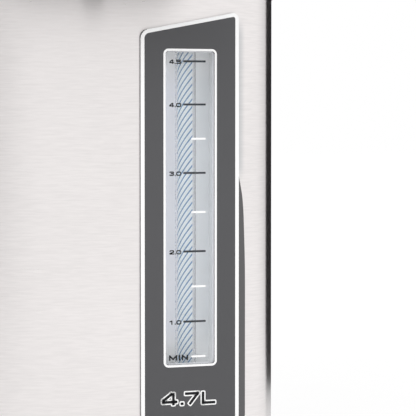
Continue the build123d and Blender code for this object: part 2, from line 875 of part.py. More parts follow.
def control_board():
    board = Pos(0, 0.5, -10.0) * Box(72.0, 33.0, 1.6)
    for centre in button_places:
        board += Pos(centre, 0, -7.6) * Box(6.0, 6.0, 3.4)
    for lamp in lamp_places:
        board += Pos(lamp, lamp_row, -9.4) * Cylinder(1.5, 6.0, align=ON_BASE)
    board += Pos(-28, -10, -8.4) * Box(9.0, 5.0, 2.0)
    return on_controls(board) - beak_outside()


def beak_outside():
    """All that is not hollow inside the beak, near the control board."""
    around = block(-90, 90, -170, -104, beak_bottom - 5, collar_top + 8)
    return around - beak_room()


def power_board():
    top = board_bottom + board_thickness
    foot = top - 0.6
    board = block(-76, -20, 10, 60, board_bottom, top)
    board += block(-70, -50, 16, 34, foot, top + 15.4)
    board += block(-44, -28, 18, 34, foot, top + 11.4)
    board += disc(6.0, foot, top + 17.4, -62, 47)
    board += disc(4.0, foot, top + 12.4, -45, 47)
    return board + block(-36, -24, 40, 52, foot, top + 7.4)


def wire_harness():
    path = [
        (-50, 9.4, 20.5),
        (-62, -18, 22.0),
        (-80, -44, 28.0),
        (harness_x, harness_y, 48.0),
        (harness_x, harness_y, 282.0),
        (-83, -71, 289.0),
        (-70, -84, 290.5),
        (-50, -97, 290.0),
        (-34, -120, 287.0),
    ]
    runs = [Vector(*after) - Vector(*before) for before, after in zip(path, path[1:])]
    radii = []
    for before, after in zip(runs, runs[1:]):
        half_turn = math.radians(before.get_angle(after)) / 2
        radii.append(round(0.45 * min(before.length, after.length) / math.tan(half_turn), 1))
    route = FilletPolyline(*path, radius=radii)
    section = Plane(origin=path[0], z_dir=runs[0]) * Circle(2.2)
    return sweep(section, route)


def nozzle():
    seat = beak_bottom + beak_wall
    stem = disc(nozzle_radius, nozzle_tip, nozzle_inlet_z + 0.5, 0, nozzle_y)
    stem = fillet(stem.edges().sort_by(Axis.Z)[0], 1.2)
    stem += disc(nozzle_flange_radius, seat, seat + 1.6, 0, nozzle_y)
    stem += disc(nozzle_radius + 1, beak_bottom - 1.5, seat + 1, 0, nozzle_y)
    stem += disc(nozzle_radius, nozzle_inlet_z - 0.5, nozzle_inlet_z + 6, 0, nozzle_y)
    stem += along_x(hose_bore, 0, 18.0, nozzle_y, nozzle_inlet_z)
    stem -= disc(nozzle_bore, nozzle_tip - 1, nozzle_inlet_z + 3, 0, nozzle_y)
    return stem - along_x(barb_bore, 0, 19.0, nozzle_y, nozzle_inlet_z)


def handle():
    outer_half = handle_inner + handle_arm
    back = handle_reach + handle_grip / 2
    front = handle_pivot_y
    depth = 2 * (back - front)
    outer = RectangleRounded(2 * outer_half, depth, handle_bend)
    inner = RectangleRounded(2 * handle_inner, depth - 2 * handle_grip, handle_bend - 10)
    bow = extrude(Pos(0, front) * (outer - inner), handle_height)
    bow = Pos(0, 0, handle_z - handle_height / 2) * bow
    bow -= block(-200, 200, front - 400, front, 200, 400)
    for side in (-1, 1):
        bow += along_x(handle_eye_radius, side * handle_inner, side * outer_half, front, handle_z)
    rim = bow.edges().filter_by(lambda edge: abs((edge @ 0.5).Z - handle_z) > handle_height / 2 - 1)
    bow = fillet(rim.filter_by(lambda edge: (edge @ 0.5).Y > front + 20), 3.2)
    bore = handle_pin_radius + running_gap
    for side in (-1, 1):
        bow -= along_x(bore, side * (handle_inner - 1), side * (outer_half - 1.4), front, handle_z)
    return bow


def handle_pins():
    pins = []
    for side in (-1, 1):
        start = side * 102.6
        pin = along_x(handle_pin_radius, start, side * 116.0, handle_pivot_y, handle_z)
        head = along_x(handle_pin_radius + 2, start, side * 104.0, handle_pivot_y, handle_z)
        pins.append(pin + head)
    return Compound(pins)


def lid_dome(radius, drop, bottom):
    """Round solid under the lid's dome, drop below the outer surface."""
    ball = Pos(0, 0, lid_crown - lid_dome_radius) * Sphere(lid_dome_radius - drop)
    return disc(radius, bottom, lid_crown + 10) & ball


def lid_cover():
    shell = lid_dome(lid_radius, 0, lid_bottom)
    rim = shell.edges().filter_by(lambda edge: abs((edge @ 0.5).Z - 312) < 3)
    shell = fillet(rim, 5.0)
    top = lid_crown + 9
    shell += block(-hinge_half, hinge_half, 88, hinge_y, hinge_z - 3.5, hinge_z + 3.5)
    shell += along_x(hinge_eye_radius, -hinge_half, hinge_half, hinge_y, hinge_z)
    shell -= lid_dome(lid_radius - lid_wall, lid_wall, lid_bottom - 1)
    shell += tube(push_room + lid_wall, push_room, lid_bottom + 5, lid_crown - 5)
    shell -= disc(push_room, lid_bottom - 2, top)
    shell -= along_x(hinge_pin_radius + running_gap, -40, 40, hinge_y, hinge_z)
    shell -= disc(vent_radius - 4, lid_bottom + 13, top, 0, vent_y)
    slot_half = latch_half + 0.5
    shell -= block(-slot_half, slot_half, latch_front - 0.5, slider_back + 0.3, tongue_top + 1.5, top)
    tongue_room = tongue_half + 0.5
    shell -= block(-tongue_room, tongue_room, -100, -93, tongue_bottom - 0.5, tongue_top + 0.5)
    room = keeper_half + 0.8
    return shell - block(-room, room, -100, keeper_lip + 0.8, lid_bottom - 1, keeper_top + 1)


def lid_liner():
    top = lid_bottom - 0.5
    plate = disc(liner_radius, top - 2.5, top)
    plate += disc(plug_radius, plug_bottom, top - 2.5)
    plate -= disc(plug_radius - 1.5, plug_bottom + 1.5, top - 2.4)
    foot = top - 0.5
    guide = block(-17, 17, -92, slider_back, foot, tongue_bottom - 0.3)
    plate += guide & disc(liner_radius - 0.2, foot, tongue_top)
    plate += block(-17, 17, -70, -50, foot, tongue_bottom - 2.5)
    plate += block(-5, 5, -53, -49, foot, tongue_top + 2)
    for x in (-70, 70):
        plate += disc(4.0, foot, top + 8.5, x, 0)
    plate += tube(6.0, 4.0, plug_bottom + 1.5, top + 8.5, 0, vent_y)
    plate -= disc(4.0, plug_bottom - 1.5, top + 10, 0, vent_y)
    return plate - disc(5.0, plug_bottom - 1.5, top + 3)


def lid_gasket():
    inner = plug_radius + 0.2
    lip = tube(liner_radius + 0.6, inner, pot_rim + 0.4, pot_rim + 2.6)
    lip = fillet(lip.edges().group_by(Axis.Z)[0], 0.8)
    return lip + tube(inner + 3.3, inner, pot_rim + 2, lid_bottom - 3.1)


def steam_vent():
    cap = disc(vent_radius, 322.5, 329.0, 0, vent_y) & lid_dome(lid_radius, -2.4, 300)
    cap -= lid_dome(lid_radius, -0.05, 300)
    cap += disc(vent_radius - 4.1, 304.0, 326.0, 0, vent_y)
    cap -= disc(vent_radius - 6, 303.0, 323.0, 0, vent_y)
    for slot in range(vent_slots):
        x = 4 * (slot - (vent_slots - 1) / 2)
        cap -= block(x - 0.8, x + 0.8, vent_y - 7, vent_y + 7, 320, 332)
    return cap


def hinge_pin():
    return along_x(hinge_pin_radius, -hinge_pin_half, hinge_pin_half, hinge_y, hinge_z)


def latch_keeper():
    upright = block(-keeper_half, keeper_half, keeper_back, keeper_face, keeper_foot, keeper_top)
    lip = block(-keeper_half, keeper_half, keeper_back, keeper_lip, tongue_top + 0.5, keeper_top)
    return upright + lip


def lid_latch():
    plate = block(-slider_half, slider_half, slider_front, slider_back, tongue_bottom, tongue_top)
    plate += block(-tongue_half, tongue_half, tongue_tip, latch_front, tongue_bottom, tongue_top)
    grip = block(-latch_half, latch_half, latch_front, latch_back, tongue_top - 1.5, lid_crown)
    grip = grip & lid_dome(lid_radius, -grip_lift, lid_bottom)
    for groove in range(4):
        y = latch_front + 3 + 3.2 * groove
        cutter = block(4 - latch_half, latch_half - 4, y - 0.7, y + 0.7, 318, lid_crown)
        grip -= cutter - lid_dome(lid_radius, -grip_lift / 2, lid_bottom)
    return plate + grip


def latch_spring():
    wound = coil(latch_coil_radius, latch_wire, latch_coil_length, latch_turns)
    return Pos(0, -53.15, (tongue_bottom + tongue_top) / 2) * Rot(90, 0, 0) * wound


def push_plate():
    top = lid_dome(push_radius, -1.5, push_bottom)
    rim = top.edges().filter_by(lambda edge: (edge @ 0.5).Z > push_bottom + 13)
    top = fillet(rim, 2.0)
    return top - lid_dome(push_radius - lid_wall, 2.0, push_bottom - 1)


def bellows():
    pitch = (bellows_top - bellows_bottom) / bellows_pleats
    outer = []
    for fold in range(bellows_pleats):
        outer.append((bellows_valley, bellows_bottom + pitch * fold))
        outer.append((bellows_crest, bellows_bottom + pitch * (fold + 0.5)))
    outer.append((bellows_valley, bellows_top))
    inner = [(x - bellows_wall, z) for x, z in reversed(outer)]
    profile = make_face(Plane.XZ * Polyline(*outer, *inner, close=True))
    return revolve(profile, Axis.Z)


def pump_spring():
    return Pos(0, 0, bellows_bottom + 0.1) * coil(pump_coil_radius, pump_wire, pump_coil_length, pump_turns)


PIECES = [
    foot_ring, turntable, swivel_bolt, swivel_washer, swivel_glides, base_pan, base_screws,
    outer_shell, rear_cover, power_socket, socket_pins, inner_pot, outlet_strainer, heater_plate,
    heater_band, thermostat, pot_bracket, pump_body, pump_impeller, drive_magnet, pump_motor,
    pump_inlet_hose, pump_outlet_hose, gauge_lower_elbow, gauge_tube, gauge_upper_elbow,
    spout_hose, gauge_housing, gauge_backing, gauge_window, gauge_panel, collar, beak_base,
    beak_cover, control_panel, dispense_button, unlock_button, reboil_button, lamp_lenses,
    control_board, power_board, wire_harness, nozzle, handle, handle_pins, lid_cover, lid_liner,
    lid_gasket, steam_vent, hinge_pin, latch_keeper, lid_latch, latch_spring, push_plate,
    bellows, pump_spring,
]

os.makedirs("parts", exist_ok=True)
for piece in PIECES:
    export_step(piece(), f"parts/{piece.__name__}.step")
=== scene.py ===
import math

import bmesh
import bpy
from mathutils import Matrix, Vector


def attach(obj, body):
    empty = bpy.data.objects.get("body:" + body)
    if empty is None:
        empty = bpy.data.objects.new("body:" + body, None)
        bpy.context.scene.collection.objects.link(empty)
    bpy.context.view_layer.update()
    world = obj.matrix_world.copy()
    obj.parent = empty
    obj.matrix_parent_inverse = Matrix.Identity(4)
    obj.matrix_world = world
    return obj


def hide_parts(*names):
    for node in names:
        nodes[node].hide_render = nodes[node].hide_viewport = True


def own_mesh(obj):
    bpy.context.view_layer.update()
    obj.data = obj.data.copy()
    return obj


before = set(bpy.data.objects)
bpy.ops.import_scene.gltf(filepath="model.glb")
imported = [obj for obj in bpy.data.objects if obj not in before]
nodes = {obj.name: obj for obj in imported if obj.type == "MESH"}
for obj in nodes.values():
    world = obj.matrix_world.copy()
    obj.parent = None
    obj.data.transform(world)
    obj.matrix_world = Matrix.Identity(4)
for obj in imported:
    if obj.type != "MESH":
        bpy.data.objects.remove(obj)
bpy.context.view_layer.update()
MM = 0.001

# The body's plan, which fixes where the gauge sits on the crowned front.
face_radius = 300 * MM
body_half_width = 106 * MM
gauge_turn = math.radians(9.65)

# Gauge: half widths across it, heights up it and lifts out of it.
panel_half_width = 26.9 * MM
panel_bottom = 34.0 * MM
panel_top_left = 247.1 * MM
panel_top_right = 257.7 * MM
panel_rounding = 4.0 * MM
panel_back = 1.0 * MM
panel_front = 1.6 * MM
border_width = 1.95 * MM
window_half_width = 13.5 * MM
window_bottom = 69.7 * MM
window_top = 236.6 * MM
window_line = 1.16 * MM
window_rounding = 2.75 * MM
ink_lift = 0.07 * MM

# Level marks: heights by litres, as printed beside the tube, and the least level below them.
LEVELS = {
    4.5: 231.2 * MM,
    4.0: 208.3 * MM,
    3.5: 190.1 * MM,
    3.0: 171.9 * MM,
    2.5: 151.0 * MM,
    2.0: 130.1 * MM,
    1.5: 111.35 * MM,
    1.0: 92.65 * MM,
}
NUMBERED = (4.5, 4.0, 3.0, 2.0, 1.0)
mark_least = 73.85 * MM
mark_end = 8.65 * MM
long_mark_start = -3.7 * MM
short_mark_start = 0.65 * MM
mark_thickness = 1.05 * MM

# Camera, from the photograph's perspective: its square frame is 416 pixels wide.
frame_pixels = 416
focal_pixels = 1515
camera_turn = math.radians(6.0)
camera_distance = 806 * MM
camera_height = 205 * MM
camera_pitch = math.radians(1.8)
gauge_column = 189.5
eye_row = 110.7

# The gauge's own frame: right along the face, up, and out of the body.
gauge_right = Vector((math.cos(gauge_turn), math.sin(gauge_turn), 0))
gauge_out = Vector((math.sin(gauge_turn), -math.cos(gauge_turn), 0))
gauge_origin = face_radius * gauge_out + Vector((0, face_radius - body_half_width, 0))
gauge_turned = Matrix((gauge_right, (0, 0, 1), gauge_out)).transposed().to_4x4()
gauge_frame = Matrix.Translation(gauge_origin) @ gauge_turned

# The controls' frame: right, up the slope, and out of the sloping top of the beak.
slope = math.radians(10.0)
panel_row = -130 * MM
beak_back = 306 * MM
slope_top = beak_back - (abs(panel_row) - body_half_width) * math.tan(slope)
controls_out = Vector((0, -math.sin(slope), math.cos(slope)))
controls_up = Vector((0, math.cos(slope), math.sin(slope)))
controls_turned = Matrix(((1, 0, 0), controls_up, controls_out)).transposed().to_4x4()
controls_frame = Matrix.Translation((0, panel_row, slope_top)) @ controls_turned
controls_lift = 0.8 * MM
controls_half_width = 37.4 * MM
controls_low = -16.4 * MM
controls_high = 17.4 * MM
controls_rounding = 4.6 * MM
controls_line = 0.8 * MM

# Buttons: column, width and depth of the top, sign on it and the sign's half size.
BUTTONS = {
    "unlock_button": (-25 * MM, 17 * MM, 12 * MM, "lock", 2.1 * MM),
    "dispense_button": (0.0, 22 * MM, 14 * MM, "cup", 2.7 * MM),
    "reboil_button": (25 * MM, 17 * MM, 12 * MM, "again", 2.1 * MM),
}
button_lift = 2.0 * MM
sign_pen = 0.6 * MM
rim_gap = 1.5 * MM
rim_rounding = 3.6 * MM
rim_line = 0.45 * MM


def rgb(red, green, blue):
    """Linear colour of three screen values from 0 to 255."""

    def linear(value):
        share = value / 255
        return share / 12.92 if share <= 0.04045 else ((share + 0.055) / 1.055) ** 2.4

    return (linear(red), linear(green), linear(blue), 1.0)


def group_with(name, inputs, outputs):
    """Empty shader node group with named sockets, and its two end nodes."""
    group = bpy.data.node_groups.new(name, "ShaderNodeTree")
    for socket, kind, value in inputs:
        made = group.interface.new_socket(socket, in_out="INPUT", socket_type="NodeSocket" + kind)
        made.default_value = value
    for socket, kind in outputs:
        group.interface.new_socket(socket, in_out="OUTPUT", socket_type="NodeSocket" + kind)
    start = group.nodes.new("NodeGroupInput")
    end = group.nodes.new("NodeGroupOutput")
    return group, start, end


def add(tree, kind, **settings):
    """New shader node with some of its properties set."""
    node = tree.nodes.new("ShaderNode" + kind)
    for name, value in settings.items():
        setattr(node, name, value)
    return node


def math_node(tree, operation, *values):
    """Math node on its values, each a socket or a number; its output socket."""
    node = add(tree, "Math", operation=operation)
    for socket, value in zip(node.inputs, values):
        if isinstance(value, (int, float)):
            socket.default_value = value
        else:
            tree.links.new(value, socket)
    return node.outputs[0]


def spread(tree, value, low, high):
    """Map Range node that takes 0..1 to low..high; its output socket."""
    node = add(tree, "MapRange")
    tree.links.new(value, node.inputs["Value"])
    node.inputs["To Min"].default_value = low
    node.inputs["To Max"].default_value = high
    return node.outputs["Result"]


def tinted(tree, colour, factor):
    """Colour made darker or lighter by a factor near 1; its output socket."""
    node = add(tree, "Mix", data_type="RGBA", blend_type="MULTIPLY")
    node.inputs["Factor"].default_value = 1.0
    tree.links.new(colour, node.inputs["A"])
    tree.links.new(factor, node.inputs["B"])
    return node.outputs["Result"]


def surface_noise(tree, scale, detail):
    """Noise on the piece's own place; scale is a vector socket or a vector. Its value socket."""
    place = add(tree, "TexCoord")
    stretch = add(tree, "Mapping")
    noise = add(tree, "TexNoise")
    noise.inputs["Scale"].default_value = 1.0
    noise.inputs["Detail"].default_value = detail
    tree.links.new(place.outputs["Object"], stretch.inputs["Vector"])
    if isinstance(scale, tuple):
        stretch.inputs["Scale"].default_value = scale
    else:
        tree.links.new(scale, stretch.inputs["Scale"])
    tree.links.new(stretch.outputs["Vector"], noise.inputs["Vector"])
    return noise.outputs["Fac"]


def bumped(tree, height, depth):
    """Normal socket of a Bump node over a height, its strength a socket."""
    bump = add(tree, "Bump")
    bump.inputs["Distance"].default_value = grain_height
    tree.links.new(height, bump.inputs["Height"])
    tree.links.new(depth, bump.inputs["Strength"])
    return bump.outputs["Normal"]


# Grain of the two skins: height of its bumps, and slow clouds under it.
grain_height = 0.05 * MM
scratch_detail = 4.0
scratch_cloud_scale = (9, 9, 9)
scratch_cloud_detail = 2.0
scratch_cloud_share = 0.5
scratch_roughness_swing = 0.12
pimple_detail = 1.0
skin_cloud_scale = (14, 14, 14)
skin_cloud_detail = 3.0
skin_roughness_swing = 0.15
noise_mean = 0.5


def skin_group(name):
    """Empty group of a skin; its grain has a scale, a contrast of shade and a depth of bumps."""
    return group_with(
        name,
        [
            ("Colour", "Color", (0.5, 0.5, 0.5, 1)),
            ("Roughness", "Float", 0.4),
            ("Grain", "Vector", (500, 500, 500)),
            ("Contrast", "Float", 0.05),
            ("Depth", "Float", 0.1),
        ],
        [("Colour", "Color"), ("Roughness", "Float"), ("Normal", "Vector")],
    )


def finish_skin(group, start, end, lean, swing, height):
    """The lean, which is 0 on average, shades the colour and the gloss, and the height makes the bumps."""
    shade = math_node(group, "MULTIPLY_ADD", lean, start.outputs["Contrast"], 1.0)
    rough = math_node(group, "MULTIPLY_ADD", lean, swing, start.outputs["Roughness"])
    group.links.new(tinted(group, start.outputs["Colour"], shade), end.inputs["Colour"])
    group.links.new(rough, end.inputs["Roughness"])
    group.links.new(bumped(group, height, start.outputs["Depth"]), end.inputs["Normal"])
    return group


def make_brushed_grain():
    """Grain of brushed metal: long fine scratches, with a slow unevenness under them."""
    group, start, end = skin_group("brushed_grain")
    scratch = surface_noise(group, start.outputs["Grain"], scratch_detail)
    cloud = surface_noise(group, scratch_cloud_scale, scratch_cloud_detail)
    both = math_node(group, "ADD", scratch, math_node(group, "MULTIPLY", cloud, scratch_cloud_share))
    lean = math_node(group, "SUBTRACT", both, noise_mean * (1 + scratch_cloud_share))
    return finish_skin(group, start, end, lean, scratch_roughness_swing, scratch)


def make_moulded_skin():
    """Skin of a moulding or a paint: fine pimples, slow changes of shade and slightly uneven gloss."""
    group, start, end = skin_group("moulded_skin")
    pimples = surface_noise(group, start.outputs["Grain"], pimple_detail)
    cloud = surface_noise(group, skin_cloud_scale, skin_cloud_detail)
    lean = math_node(group, "SUBTRACT", cloud, noise_mean)
    return finish_skin(group, start, end, lean, skin_roughness_swing, pimples)


brushed_grain = make_brushed_grain()
moulded_skin = make_moulded_skin()


def material(name, group, colour, roughness, grain, contrast, depth, **plain):
    """Material of one Principled shader fed by one of the two skins; plain sockets are set on the shader."""
    made = bpy.data.materials.new(name)
    made.use_nodes = True
    tree = made.node_tree
    shader = tree.nodes["Principled BSDF"]
    skin = add(tree, "Group", node_tree=group)
    values = {"Colour": colour, "Roughness": roughness, "Grain": grain, "Contrast": contrast, "Depth": depth}
    for socket, value in values.items():
        skin.inputs[socket].default_value = value
    tree.links.new(skin.outputs["Colour"], shader.inputs["Base Color"])
    tree.links.new(skin.outputs["Roughness"], shader.inputs["Roughness"])
    tree.links.new(skin.outputs["Normal"], shader.inputs["Normal"])
    for socket, value in plain.items():
        shader.inputs[socket.replace("_", " ")].default_value = value
    return made


def metal(name, colour, roughness, grain, contrast, depth, **plain):
    """Bare metal with a fine grain."""
    return material(name, brushed_grain, colour, roughness, grain, contrast, depth, Metallic=1.0, **plain)


def moulding(name, colour, roughness, grain, contrast, depth, **plain):
    """Plastic, rubber, paint or ink."""
    return material(name, moulded_skin, colour, roughness, grain, contrast, depth, **plain)


def brushed(made):
    """Stretches the gloss of a metal along its brushing, which runs round the Z axis."""
    tree = made.node_tree
    shader = tree.nodes["Principled BSDF"]
    tangent = add(tree, "Tangent", direction_type="RADIAL", axis="Z")
    tree.links.new(tangent.outputs["Tangent"], shader.inputs["Tangent"])
    shader.inputs["Anisotropic Rotation"].default_value = 0.25
    return made


def even(scale):
    """Scale of a grain that is alike in every direction."""
    return (scale, scale, scale)


PIMPLES = even(2200)
steel_colour = rgb(239, 235, 234)
rail_colour = rgb(86, 85, 86)

wrap_steel = brushed(metal("wrap_steel", steel_colour, 0.31, (110, 110, 1300), 0.20, 0.10, Anisotropic=0.85))
pot_steel = brushed(metal("pot_steel", rgb(214, 213, 211), 0.24, (40, 40, 700), 0.06, 0.06, Anisotropic=0.6))
plated_steel = metal("plated_steel", rgb(190, 190, 192), 0.34, even(300), 0.10, 0.10)
spring_steel = metal("spring_steel", rgb(150, 150, 153), 0.30, even(900), 0.08, 0.05)
heater_metal = metal("heater_metal", rgb(206, 206, 208), 0.42, even(200), 0.10, 0.12)
pin_metal = metal("pin_metal", rgb(205, 196, 176), 0.22, (400, 60, 400), 0.06, 0.04)
magnet_metal = metal("magnet_metal", rgb(84, 84, 87), 0.55, even(500), 0.20, 0.20)
magnet_metal.node_tree.nodes["Principled BSDF"].inputs["Metallic"].default_value = 0.8
charcoal = moulding("charcoal_moulding", rgb(52, 52, 55), 0.46, PIMPLES, 0.10, 0.30)
satin_black = moulding("satin_black", rgb(38, 38, 40), 0.30, even(900), 0.08, 0.05)
gloss_black = moulding("gloss_black", rgb(24, 24, 26), 0.09, even(120), 0.05, 0.02, Coat_Weight=0.5)
gauge_grey = moulding("gauge_grey", rgb(87, 87, 89), 0.55, PIMPLES, 0.04, 0.10, Specular_IOR_Level=0.2)
rail_grey = moulding("rail_grey", rail_colour, 0.40, PIMPLES, 0.06, 0.15)
button_grey = moulding("button_grey", rgb(176, 177, 180), 0.38, PIMPLES, 0.05, 0.12)
white_ink = moulding("white_ink", rgb(255, 255, 255), 0.45, even(600), 0.02, 0.04)
black_ink = moulding("black_ink", rgb(22, 23, 26), 0.45, even(600), 0.05, 0.04, Specular_IOR_Level=0.25)
grey_ink = moulding("grey_ink", rgb(54, 57, 62), 0.45, even(600), 0.05, 0.04, Specular_IOR_Level=0.25)
white_moulding = moulding("white_moulding", rgb(226, 227, 230), 0.40, PIMPLES, 0.04, 0.12)
silicone = moulding("silicone", rgb(214, 212, 205), 0.55, even(500), 0.06, 0.15, Subsurface_Weight=0.1)
foot_rubber = moulding("foot_rubber", rgb(34, 34, 35), 0.75, even(1500), 0.12, 0.50)
board_green = moulding("board_green", rgb(28, 84, 52), 0.35, even(700), 0.20, 0.10)
sleeve_black = moulding("sleeve_black", rgb(30, 30, 32), 0.60, (800, 800, 400), 0.12, 0.35)
lens_amber = moulding("lens_amber", rgb(232, 150, 60), 0.20, even(600), 0.05, 0.02)


def clear_material(name, colour, roughness, index):
    """Clear glass or plastic that lets light through to what lies behind it."""
    made = moulding(name, colour, roughness, even(60), 0.01, 0.0, Transmission_Weight=1.0, IOR=index)
    tree = made.node_tree
    shader = tree.nodes["Principled BSDF"]
    through = add(tree, "BsdfTransparent")
    path = add(tree, "LightPath")
    mix = add(tree, "MixShader")
    lit = math_node(tree, "MAXIMUM", path.outputs["Is Shadow Ray"], path.outputs["Is Diffuse Ray"])
    tree.links.new(lit, mix.inputs["Fac"])
    tree.links.new(shader.outputs["BSDF"], mix.inputs[1])
    tree.links.new(through.outputs["BSDF"], mix.inputs[2])
    tree.links.new(mix.outputs["Shader"], tree.nodes["Material Output"].inputs["Surface"])
    return made


def darken_edges(made, colour):
    """Glass with painted shade where it is seen along its wall, wider on the right of the gauge than on the
    left.
    """
    tree = made.node_tree
    shader = tree.nodes["Principled BSDF"]
    skin = shader.inputs["Base Color"].links[0].from_socket
    facing = add(tree, "LayerWeight")
    column, _, _ = gauge_place(tree)
    right_side = between(tree, column, right_shade_start, panel_half_width, right_shade_fade)
    less = math_node(tree, "MULTIPLY", right_side, left_shade_narrowness - right_shade_narrowness)
    width = math_node(tree, "SUBTRACT", left_shade_narrowness, less)
    along = math_node(tree, "POWER", facing.outputs["Facing"], width)
    tree.links.new(blended(tree, along, skin, colour), shader.inputs["Base Color"])
    return made


# Painted shade on the walls of the tube: the left one is thinner than the right one.
left_shade_narrowness = 7.0
right_shade_narrowness = 3.0
right_shade_start = 3.0 * MM
right_shade_fade = 1.0 * MM

# Striped card behind the level tube: a band of slanting blue stripes with plain card on both sides.
band_left = -4.2 * MM
band_right = 5.8 * MM
band_edge = 0.2 * MM
stripe_period = 4.0 * MM
stripe_slope = 0.9
stripe_curve = 0.045 / MM
stripe_share = 0.26
stripe_blue = rgb(20, 122, 178)
stripe_gap = rgb(240, 249, 255)
card_left = rgb(240, 243, 250)
card_right = rgb(231, 235, 238)
card_change = 2 * MM
# Painted light: the card is lighter towards the window's top and bottom, where shade falls.
card_painted_light = rgb(252, 254, 255)
card_painted_light_fade = 20 * MM

# Pale inside of the window's frame, and painted shade on the steel beside the gauge.
frame_half_width = 17 * MM
frame_over = 3 * MM
frame_edge = 0.1 * MM
frame_colour = rgb(246, 248, 252)
painted_shade_left = 26 * MM
painted_shade_right = 27.5 * MM
painted_shade_edge = 4.5 * MM
painted_shade_bottom = 178 * MM
painted_shade_top = 244 * MM
painted_shade_fade = 14 * MM
painted_shade_colour = rgb(206, 206, 207)


def gauge_place(tree):
    """Value sockets of a point's place across the gauge, its height and its place from front to back."""
    place = add(tree, "TexCoord")
    apart = add(tree, "SeparateXYZ")
    across = add(tree, "VectorMath", operation="DOT_PRODUCT")
    across.inputs[1].default_value = gauge_right
    tree.links.new(place.outputs["Object"], across.inputs[0])
    tree.links.new(place.outputs["Object"], apart.inputs[0])
    column = math_node(tree, "SUBTRACT", across.outputs["Value"], gauge_origin.dot(gauge_right))
    return column, apart.outputs["Z"], apart.outputs["Y"]


def between(tree, value, low, high, soft):
    """Mask that is 1 between two limits and fades over a soft edge outside them."""
    sides = []
    for start, end in ((low - soft, low), (high + soft, high)):
        side = add(tree, "MapRange", interpolation_type="SMOOTHSTEP")
        side.inputs["From Min"].default_value = start
        side.inputs["From Max"].default_value = end
        tree.links.new(value, side.inputs["Value"])
        sides.append(side.outputs["Result"])
    return math_node(tree, "MULTIPLY", *sides)


def blended(tree, share, first, second):
    """Colour that goes from first to second; each is a colour or a socket."""
    mix = add(tree, "Mix", data_type="RGBA")
    tree.links.new(share, mix.inputs["Factor"])
    for socket, colour in (("A", first), ("B", second)):
        if isinstance(colour, tuple):
            mix.inputs[socket].default_value = colour
        else:
            tree.links.new(colour, mix.inputs[socket])
    return mix.outputs["Result"]


def recoloured(made, colour):
    """Feeds a colour socket to the skin of a material."""
    tree = made.node_tree
    skin = tree.nodes["Principled BSDF"].inputs["Base Color"].links[0].from_node
    tree.links.new(colour, skin.inputs["Colour"])
    return made


def make_striped_card():
    """Pale card with a band of slanting blue stripes, drawn on its place across and up the gauge, with
    painted light that makes it lighter towards the window's top and bottom.
    """
    made = moulding("striped_card", rgb(246, 247, 250), 0.35, even(700), 0.03, 0.05, Coat_Weight=1.0)
    tree = made.node_tree
    column, height, _ = gauge_place(tree)
    lifted = math_node(tree, "SUBTRACT", height, math_node(tree, "MULTIPLY", column, stripe_slope))
    across = math_node(tree, "SUBTRACT", column, band_right)
    bow = math_node(tree, "MULTIPLY", math_node(tree, "MULTIPLY", across, across), stripe_curve)
    turns = math_node(tree, "DIVIDE", math_node(tree, "ADD", lifted, bow), stripe_period)
    along = math_node(tree, "FRACT", turns)
    middle = math_node(tree, "ABSOLUTE", math_node(tree, "SUBTRACT", along, 0.5))
    ramp = add(tree, "ValToRGB")
    blue, gap = ramp.color_ramp.elements
    blue.position = stripe_share / 2 - 0.02
    blue.color = stripe_blue
    gap.position = stripe_share / 2 + 0.04
    gap.color = stripe_gap
    tree.links.new(middle, ramp.inputs["Fac"])
    left_side = between(tree, column, -panel_half_width, 0.0, card_change)
    plain = blended(tree, left_side, card_right, card_left)
    # Painted light towards the card's top and bottom ends.
    low, high = window_bottom + card_painted_light_fade, window_top - card_painted_light_fade
    unpainted_middle = between(tree, height, low, high, card_painted_light_fade)
    plain = blended(tree, unpainted_middle, card_painted_light, plain)
    band = between(tree, column, band_left, band_right, band_edge)
    return recoloured(made, blended(tree, band, plain, ramp.outputs["Color"]))


def lighten_window_frame(made):
    """Inside the window the dark housing is pale grey."""
    tree = made.node_tree
    column, height, _ = gauge_place(tree)
    across = between(tree, column, -frame_half_width, frame_half_width, frame_edge)
    upright = between(tree, height, window_bottom - frame_over, window_top + frame_over, frame_edge)
    inside = math_node(tree, "MULTIPLY", across, upright)
    return recoloured(made, blended(tree, inside, rail_colour, frame_colour))


def shade_beside_gauge(made):
    """Painted shade: a soft darker band on the steel along the right of the gauge, above the dark rail."""
    tree = made.node_tree
    column, height, depth = gauge_place(tree)
    across = between(tree, column, painted_shade_left, painted_shade_right, painted_shade_edge)
    upright = between(tree, height, painted_shade_bottom, painted_shade_top, painted_shade_fade)
    # Only the front half of the wrap, because the column alone repeats at the back.
    front = between(tree, depth, -200 * MM, -60 * MM, 20 * MM)
    share = math_node(tree, "MULTIPLY", math_node(tree, "MULTIPLY", across, upright), front)
    return recoloured(made, blended(tree, share, steel_colour, painted_shade_colour))


lighten_window_frame(rail_grey)
# Painted shade on the steel beside the gauge.
shade_beside_gauge(wrap_steel)
striped_card = make_striped_card()
# The tube's glass has painted shade along its walls.
tube_glass = darken_edges(clear_material("tube_glass", rgb(255, 255, 255), 0.01, 1.38), rgb(104, 98, 118))
pane_plastic = clear_material("pane_plastic", rgb(254, 254, 255), 0.02, 1.45)

